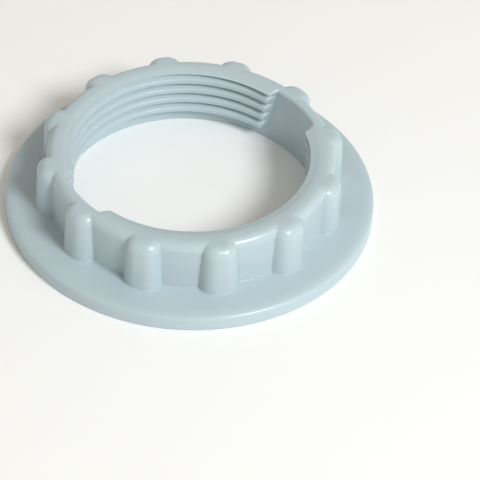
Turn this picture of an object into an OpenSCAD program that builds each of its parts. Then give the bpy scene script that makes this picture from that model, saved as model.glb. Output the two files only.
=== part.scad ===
// Flanged back nut for a pipe fitting, moulded in one piece of white plastic.
// The nut lies on the flat face of its flange, its thread axis on Z and its collar upwards.
// All sizes are in millimetres.

/* [Thread] */
// Radius at the tips of the internal thread
thread_tip_r = 22.42; // [21.8:0.02:22.8]
// Distance from one turn of the thread to the next
pitch = 2.309; // [1.8:0.001:2.6]
// Depth of the groove between two turns
thread_depth = 1.2; // [0.8:0.05:1.4]
// Width of the flat tip of a turn
tip_w = 0.9; // [0.6:0.05:1]

/* [Flange] */
// Outer radius of the flange
flange_r = 35; // [32:0.5:40]
// Thickness of the flange
flange_h = 3.3; // [2.5:0.1:4.5]
// Radius that rounds the flange's upper edge
flange_edge_r = 1.2; // [0.6:0.1:2]

/* [Collar] */
// Height of the whole nut
nut_h = 13.3; // [12:0.1:16]
// Outer radius of the collar between its ribs
collar_r = 27.1; // [26.6:0.1:28]
// Radius that rounds the collar's upper outer edge
collar_edge_r = 1.6; // [0.8:0.1:2]
// Radius of the wide mouth below the thread
mouth_r = 24.7; // [24.6:0.1:25]

/* [Ribs] */
// Number of grip ribs round the collar
rib_count = 12; // [8:1:14]
// Radius that the ribs reach
rib_reach_r = 29.5; // [28.8:0.1:31]
// Width of one rib
rib_w = 7.6; // [6:0.1:8.5]
// Turn of the first rib from the X axis, in degrees
rib_turn = 14.2; // [0:0.1:30]

/* [Gaps in the thread] */
// Radius of the wall behind the two gaps
gap_r = 24.5; // [24:0.1:24.5]
// Angle that each of the two gaps spans, in degrees
gap_span = 32; // [26:1:40]
// Direction of the middle of the first gap, in degrees
gap_turn = 36; // [0:1:90]

/* [Hidden] */
$fn = 96;
// Cutting tools reach this far past the surface that they cut
over = 1;
groove_over = 0.5;
arc_over = 2;
// Rim of the collar: run and drop of the slope that leads into the thread
lead_run = 1.8;
lead_drop = 0.55;
// Each rib is a bar with two round corners in plan, and one radius rounds its whole upper edge
rib_corner_r = 3.2;
rib_edge_r = 2.5;
rib_root_r = 25.2;
rib_corner_x = rib_reach_r - rib_corner_r;
rib_corner_y = rib_w / 2 - rib_corner_r;
// The thread: height of the groove's middle at a turn of 90 degrees, and the flanks' lean of half 55 degrees
groove_z = 9.96;
flank_lean = tan(27.5);
// Each gap breaks the thread, so a turn is two separate arcs
arc_span = 180 - gap_span;
arc_turn = gap_turn + 90;
// An arc lies in a plane that leans by this angle, so that its ends rise and fall as the thread does
arc_lean = atan(pitch * arc_span / 720 / (thread_tip_r * sin(arc_span / 2)));

// Section of the groove between two turns, open towards the bore
module groove_section() {
    mouth = (pitch - tip_w) / 2;
    root = mouth - thread_depth * flank_lean;
    front = mouth + groove_over * flank_lean;
    polygon([
        [thread_tip_r - groove_over, -front],
        [thread_tip_r + thread_depth, -root],
        [thread_tip_r + thread_depth, root],
        [thread_tip_r - groove_over, front]
    ]);
}

// The grooves of the right-hand thread: an arc for each turn on either side of the gaps
module thread_grooves() {
    first = -ceil(groove_z / pitch);
    last = ceil((nut_h - groove_z) / pitch);
    for (turn = [0, 180], k = [first:last]) {
        arc_z = groove_z + pitch * (k + (arc_turn + turn - 90) / 360);
        if (arc_z > flange_h - pitch / 2 && arc_z < nut_h + pitch / 2)
            rotate([0, 0, arc_turn + turn])
                translate([0, 0, arc_z])
                rotate([arc_lean, 0, 0])
                rotate([0, 0, -arc_span / 2 - arc_over])
                rotate_extrude(angle = arc_span + 2 * arc_over) groove_section();
    }
}

// Half section of the flange, a disc with a rounded upper edge
module flange_section() {
    square([flange_r - flange_edge_r, flange_h]);
    square([flange_r, flange_h - flange_edge_r]);
    translate([flange_r - flange_edge_r, flange_h - flange_edge_r]) circle(flange_edge_r);
}

// Half section of the collar, with its rounded outer edge
module collar_section() {
    square([collar_r - collar_edge_r, nut_h]);
    square([collar_r, nut_h - collar_edge_r]);
    translate([collar_r - collar_edge_r, nut_h - collar_edge_r]) circle(collar_edge_r);
}

// Section of a block of half width w that is rounded at its upper edge
module rounded_half(w) {
    square([w - rib_edge_r, nut_h]);
    square([w, nut_h - rib_edge_r]);
    translate([w - rib_edge_r, nut_h - rib_edge_r]) circle(rib_edge_r);
}

// Section through half of one rib, kept to its own side of the middle
module rib_half_section(w) {
    intersection() {
        square([w, nut_h]);
        rounded_half(w);
    }
}

// One rib along the X axis: the bar, its two round corners and the face between them
module rib() {
    for (side = [0, 1]) mirror([0, side, 0]) {
        translate([rib_root_r, 0, 0])
            rotate([90, 0, 90])
            linear_extrude(rib_corner_x - rib_root_r) rib_half_section(rib_w / 2);
        translate([rib_corner_x, rib_corner_y, 0])
            rotate_extrude(angle = 90) rib_half_section(rib_corner_r);
        translate([rib_corner_x, rib_corner_y, 0])
            rotate([90, 0, 0])
            linear_extrude(rib_corner_y) rib_half_section(rib_corner_r);
    }
}

module ribs() {
    for (i = [0:rib_count - 1]) rotate([0, 0, rib_turn + 360 * i / rib_count]) rib();
}

// The bore: wide mouth at the flange, thread's tips above it, and the sloped lead-in at the rim
module bore() {
    translate([0, 0, -over]) cylinder(h = flange_h + over, r = mouth_r);
    cylinder(h = nut_h + over, r = thread_tip_r);
    translate([0, 0, nut_h - lead_drop])
        cylinder(h = lead_drop, r1 = thread_tip_r, r2 = thread_tip_r + lead_run);
    translate([0, 0, nut_h]) cylinder(h = over, r = thread_tip_r + lead_run);
}

// The two gaps in the thread, from the wide mouth up through the rim
module gaps() {
    for (turn = [0, 180]) {
        rotate([0, 0, gap_turn - gap_span / 2 + turn])
            rotate_extrude(angle = gap_span) square([gap_r, nut_h + over]);
    }
}

module back_nut() {
    color("azure")
    difference() {
        union() {
            rotate_extrude() flange_section();
            rotate_extrude() collar_section();
            ribs();
        }
        bore();
        gaps();
        thread_grooves();
    }
}

back_nut();
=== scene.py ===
import math

import bmesh
import bpy
from mathutils import Matrix, Vector


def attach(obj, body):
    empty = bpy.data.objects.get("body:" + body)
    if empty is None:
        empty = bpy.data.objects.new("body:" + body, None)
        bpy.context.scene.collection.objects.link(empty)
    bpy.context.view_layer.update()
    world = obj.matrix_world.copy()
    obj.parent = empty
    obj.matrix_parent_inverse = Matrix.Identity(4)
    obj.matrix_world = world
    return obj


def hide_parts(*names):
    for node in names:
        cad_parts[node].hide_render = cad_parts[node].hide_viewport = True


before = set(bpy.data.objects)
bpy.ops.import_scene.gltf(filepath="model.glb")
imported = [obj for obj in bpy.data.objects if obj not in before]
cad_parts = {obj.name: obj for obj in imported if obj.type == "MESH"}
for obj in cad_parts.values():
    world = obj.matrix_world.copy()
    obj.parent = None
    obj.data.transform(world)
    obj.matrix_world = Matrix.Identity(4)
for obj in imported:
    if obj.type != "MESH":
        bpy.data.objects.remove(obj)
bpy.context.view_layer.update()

# The view
# A long lens looks down at the nut, a little under half way from level to straight down,
# and is held slightly turned, so that the nut stands a little left of the picture's middle.
view_fall = math.radians(42.54)
view_roll = math.radians(3.18)
nut_from_lens = Vector((-0.009615, -0.007342, 0.458569))
across = Vector((1, 0, 0))
away = Vector((0, -math.cos(view_fall), -math.sin(view_fall)))
down = away.cross(across)
roll = Matrix.Rotation(view_roll, 3, "Z")
lens_to_room = Matrix((roll @ across, roll @ down, roll @ away))
half_turn = Matrix.Diagonal((1, -1, -1))
lens = bpy.data.cameras.new("view")
lens.lens = 180
lens.sensor_width = 36
lens.clip_start = 0.01
view = bpy.data.objects.new("view", lens)
view_place = Matrix.Translation(-(lens_to_room @ nut_from_lens))
view.matrix_world = view_place @ (lens_to_room @ half_turn).to_4x4()
bpy.context.scene.collection.objects.link(view)
bpy.context.scene.camera = view

# The back nut
# One injection moulding in milky white plastic: a flat flange with a round collar on it, grip
# ribs round the collar, and a pipe thread inside that two opposite gaps interrupt. It lies on
# its flange. Its surface is worked out as one closed section in each direction, in millimetres.
flange_r = 35.0
flange_h = 3.3
flange_foot_edge = 0.15
flange_foot_middle_r = 30
flange_edge_run, flange_edge_drop = 2.4, 0.85
collar_foot_fillet = 0.3

nut_h = 13.3
collar_r = 27.1
collar_edge = 1.6
rim_r = collar_r - collar_edge
mouth_r = 24.7

rib_count = 12
rib_step = 360 / rib_count
rib_turn = 14.2
rib_reach_r = 29.5
rib_corner_r = 3.2
rib_corner_x = rib_reach_r - rib_corner_r
rib_corner_y = 0.55
rib_draft = math.tan(math.radians(2.8))
rib_dome = 1.9
rib_root_blend = 0.3

tip_r = 22.42
pitch = 2.309
tip_z = 11.135
lead_run, lead_drop = 1.8, 0.55
# One turn of the thread, upwards from the middle of a tip: height and depth of its corners
rising_corners = [(0, 0), (0.36, 0), (0.46, 0.03), (0.53, 0.12)]
rising_corners += [(0.79, 0.62), (1.03, 1.06), (1.155, 1.14)]
turn_corners = rising_corners + [(pitch - h, d) for h, d in reversed(rising_corners[1:-1])]

gap_turn = 36.0
gap_wall_r = 24.5
gap_half = 14.8
gap_widening = 0.47
gap_soft_ramp, gap_sharp_ramp = 6.0, 1.8
gap_top_edge = 0.6


def rib_outline_r(turn, inset):
    """Radius of a rib's outline in one direction, where the rib has drawn in by inset."""
    off = math.radians(abs((turn - rib_turn + rib_step / 2) % rib_step - rib_step / 2))
    ray = Vector((math.cos(off), math.sin(off)))
    front = (rib_reach_r - inset) / ray.x
    if front * ray.y <= rib_corner_y:
        return front
    corner = Vector((rib_corner_x, rib_corner_y))
    corner_r = rib_corner_r - inset
    along = corner.dot(ray)
    room = along ** 2 - corner.length_squared + corner_r ** 2
    if room >= 0 and (along + math.sqrt(room)) * ray.x >= rib_corner_x:
        return along + math.sqrt(room)
    return (rib_corner_y + corner_r) / ray.y


def outside_r(turn, height):
    """Radius of the collar with its ribs at one height: the ribs draw in upwards to a dome."""
    up = max(0, height - nut_h + collar_edge)
    collar = rim_r + math.sqrt(max(0, collar_edge ** 2 - up ** 2))
    up = max(0, height - nut_h + rib_dome)
    dome = rib_dome - math.sqrt(max(0, rib_dome ** 2 - up ** 2))
    rib = rib_outline_r(turn, rib_draft * (height - flange_h) + dome)
    near = max(0, rib_root_blend - abs(rib - collar)) / rib_root_blend
    return max(rib, collar) + near * near * rib_root_blend / 4


def thread_r(turn, height):
    """Radius of the full thread at a height, before the lead-in is cut."""
    up = (height - tip_z - pitch * (turn - 90) / 360) % pitch
    corners = turn_corners + [(pitch, 0)]
    for (low, low_depth), (high, high_depth) in zip(corners, corners[1:]):
        if up <= high:
            return tip_r + low_depth + (high_depth - low_depth) * (up - low) / (high - low)
    return tip_r


def gap_share(turn, height):
    """0 in the thread and 1 in a gap, with a short ramp between them that widens downwards."""
    off = (turn - gap_turn + 90) % 180 - 90
    ramp = gap_sharp_ramp if off > 0 else gap_soft_ramp
    edge = gap_half + gap_widening * (nut_h - height)
    share = min(1, max(0, (edge + ramp / 2 - abs(off)) / ramp))
    return share * share * (3 - 2 * share)


def lead_in_end(turn):
    """Height at which the sloped lead-in meets the thread in one direction."""
    low, high = nut_h - lead_drop, nut_h
    for _ in range(24):
        middle = (low + high) / 2
        lead_r = tip_r + lead_run * (middle - nut_h + lead_drop) / lead_drop
        if lead_r < thread_r(turn, middle):
            low = middle
        else:
            high = middle
    return low


def section(turn):
    """The closed section in one direction: radius and height of each corner, foot first."""
    flange_top_r = flange_r - flange_edge_run
    points = [(mouth_r + flange_foot_edge, 0), (flange_foot_middle_r, 0)]
    points += [(flange_r - flange_foot_edge, 0), (flange_r, flange_foot_edge)]
    for step in range(8):
        a = math.pi / 2 * step / 8
        run = flange_edge_run * (1 - math.cos(a))
        drop = flange_edge_drop * (1 - math.sin(a))
        points.append((flange_r - run, flange_h - drop))
    foot_r = outside_r(turn, flange_h) + collar_foot_fillet
    points += [(flange_top_r + (foot_r - flange_top_r) * k / 3, flange_h) for k in range(4)]
    for step in (1, 2, 3):
        a = math.pi / 2 * step / 3
        height = flange_h + collar_foot_fillet * (1 - math.cos(a))
        points.append((outside_r(turn, height) + collar_foot_fillet * (1 - math.sin(a)), height))
    wall_foot, wall_top = flange_h + collar_foot_fillet, nut_h - rib_dome
    for k in (1, 2, 3):
        height = wall_foot + (wall_top - wall_foot) * k / 3
        points.append((outside_r(turn, height), height))
    for step in range(1, 15):
        height = wall_top + rib_dome * math.sin(math.pi / 2 * step / 14)
        points.append((outside_r(turn, height), height))

    top = gap_share(turn, nut_h)
    end = lead_in_end(turn)
    end_r = thread_r(turn, end)
    for k in range(6):
        lead_z = nut_h + (end - nut_h) * k / 5
        lead_r = tip_r + lead_run + (end_r - tip_r - lead_run) * k / 5
        a = math.pi / 2 * k / 5
        edge_r = gap_wall_r + gap_top_edge * (1 - math.sin(a))
        edge_z = nut_h - gap_top_edge * (1 - math.cos(a))
        points.append((lead_r + (edge_r - lead_r) * top, lead_z + (edge_z - lead_z) * top))

    first = math.floor((flange_h - tip_z) / pitch) - 1
    last = math.ceil((nut_h - tip_z) / pitch) + 1
    rise = pitch * (turn - 90) / 360
    rows = [tip_z + rise + pitch * n + h for n in range(first, last + 1) for h, _ in turn_corners]
    ceiling = end + (nut_h - gap_top_edge - end) * top
    for row in reversed(rows):
        height = min(max(row, flange_h), ceiling)
        radius = thread_r(turn, min(height, end))
        points.append((radius + (gap_wall_r - radius) * gap_share(turn, height), height))
    points += [(mouth_r, flange_h), (mouth_r, flange_h / 2), (mouth_r, flange_foot_edge)]
    return points


def section_turns():
    """The directions of the sections: close together at the ribs' flanks and the gaps' ends."""
    turns = []
    flank_start, flank_end, flank_step = 4.9, 8.3, 0.2
    flank_steps = round((flank_end - flank_start) / flank_step)
    rib_sides = [0.7 * k for k in range(1, 7)]
    rib_sides += [flank_start + flank_step * k for k in range(flank_steps + 1)]
    for rib in range(rib_count):
        middle = rib_turn + rib_step * rib
        turns += [middle - s for s in rib_sides] + [middle] + [middle + s for s in rib_sides]
        turns += [middle + flank_end + (rib_step - 2 * flank_end) * k / 10 for k in range(1, 10)]
    for gap in (gap_turn, gap_turn + 180):
        for side in (-1, 1):
            turns += [gap + side * (gap_half - 1.8 + 0.3 * k) for k in range(29)]
    turns = sorted(t % 360 for t in turns)
    kept = [turns[0]]
    for t in turns[1:]:
        if t - kept[-1] > 0.12:
            kept.append(t)
    return kept + [kept[0] + 360]


mm = 0.001
corners, faces = [], []
turns = section_turns()
for turn in turns:
    c, s = math.cos(math.radians(turn)), math.sin(math.radians(turn))
    loop = section(turn)
    corners += [(mm * r * c, mm * r * s, mm * z) for r, z in loop]
loop_size = len(loop)
for i in range(len(turns) - 1):
    for j in range(loop_size):
        a, b = i * loop_size + j, i * loop_size + (j + 1) % loop_size
        faces.append((a, a + loop_size, b + loop_size, b))
shape = bpy.data.meshes.new("back_nut_moulding")
shape.from_pydata(corners, [], faces)
work = bmesh.new()
work.from_mesh(shape)
bmesh.ops.remove_doubles(work, verts=work.verts, dist=1e-6)
bmesh.ops.dissolve_degenerate(work, edges=work.edges, dist=1e-7)
bmesh.ops.recalc_face_normals(work, faces=work.faces)
work.to_mesh(shape)
work.free()
shape.polygons.foreach_set("use_smooth", [True] * len(shape.polygons))
shape.set_sharp_from_angle(angle=math.radians(40))
nut = bpy.data.objects.new("back_nut_moulding", shape)
bpy.context.scene.collection.objects.link(nut)


class Flow:
    """A socket inside a material, so that the maths on it is written as plain expressions."""

    def __init__(self, tree, socket=None):
        self.tree = tree
        self.socket = socket

    def node(self, kind, settings, inputs, output=0):
        """A new node: its type, its settings, and the values or links of its sockets."""
        made = self.tree.nodes.new(kind)
        for name, value in settings.items():
            setattr(made, name, value)
        for name, value in inputs.items():
            if isinstance(value, Flow):
                self.tree.links.new(value.socket, made.inputs[name])
            else:
                made.inputs[name].default_value = value
        return Flow(self.tree, made.outputs[output])

    def __add__(self, other):
        return self.node("ShaderNodeMath", {"operation": "ADD"}, {0: self, 1: other})

    def __mul__(self, other):
        return self.node("ShaderNodeMath", {"operation": "MULTIPLY"}, {0: self, 1: other})

    __radd__ = __add__
    __rmul__ = __mul__

    def feed(self, socket):
        self.tree.links.new(self.socket, socket)


plastic = bpy.data.materials.new("milky_white_plastic")
plastic.use_nodes = True
shader = plastic.node_tree.nodes["Principled BSDF"]
flow = Flow(plastic.node_tree)
place = flow.node("ShaderNodeTexCoord", {}, {}, "Object")
cloud = flow.node("ShaderNodeTexNoise", {}, {"Vector": place, "Scale": 70, "Detail": 2})
handling = flow.node("ShaderNodeTexNoise", {}, {"Vector": place, "Scale": 420, "Detail": 4})
grain = flow.node("ShaderNodeTexNoise", {}, {"Vector": place, "Scale": 2600, "Detail": 2})
milky_white = (0.455, 0.56, 0.61, 1)
milkier_white = (0.49, 0.585, 0.62, 1)
shades = {0: cloud, 6: milky_white, 7: milkier_white}
colour = flow.node("ShaderNodeMix", {"data_type": "RGBA"}, shades, 2)
colour.feed(shader.inputs["Base Color"])
(0.22 + 0.12 * handling + 0.05 * cloud).feed(shader.inputs["Roughness"])
relief = {"Height": grain + 2 * handling, "Strength": 0.12, "Distance": 0.00004}
moulded = flow.node("ShaderNodeBump", {}, relief)
moulded.feed(shader.inputs["Normal"])
shader.inputs["Subsurface Weight"].default_value = 0.4
shader.inputs["Subsurface Radius"].default_value = (1.0, 0.95, 0.9)
shader.inputs["Subsurface Scale"].default_value = 0.0015
nut.data.materials.append(plastic)
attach(nut, "root")
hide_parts("back_nut")

# The table and the light
# A plain white table, a soft round lamp high at the right in front of it, and an even, slightly
# warm room that fills the shade.
bpy.ops.mesh.primitive_plane_add(size=4)
table = bpy.context.object
table.name = "table"
paint = bpy.data.materials.new("table_white")
paint.use_nodes = True
table_shader = paint.node_tree.nodes["Principled BSDF"]
flow = Flow(paint.node_tree)
place = flow.node("ShaderNodeTexCoord", {}, {}, "Object")
fleck = flow.node("ShaderNodeTexNoise", {}, {"Vector": place, "Scale": 300, "Detail": 3})
(0.62 + 0.12 * fleck).feed(table_shader.inputs["Roughness"])
table_shader.inputs["Base Color"].default_value = (0.95, 0.95, 0.95, 1)
table.data.materials.append(paint)

lamp_way = Vector((0.51, -0.52, 0.68)).normalized()
lamp_distance = 0.9
lamp = bpy.data.lights.new("lamp", "AREA")
lamp.shape = "DISK"
lamp.size = 0.3
lamp.energy = 6.3
lamp.color = (0.96, 0.99, 1)
lamp_place = bpy.data.objects.new("lamp", lamp)
lamp_place.location = lamp_way * lamp_distance
lamp_place.rotation_euler = lamp_way.to_track_quat("Z", "Y").to_euler()
bpy.context.scene.collection.objects.link(lamp_place)

room = bpy.data.worlds.new("room")
room.use_nodes = True
room.node_tree.nodes["Background"].inputs["Color"].default_value = (1, 0.95, 0.86, 1)
room.node_tree.nodes["Background"].inputs["Strength"].default_value = 0.47
bpy.context.scene.world = room
bpy.context.scene.view_settings.view_transform = "Standard"
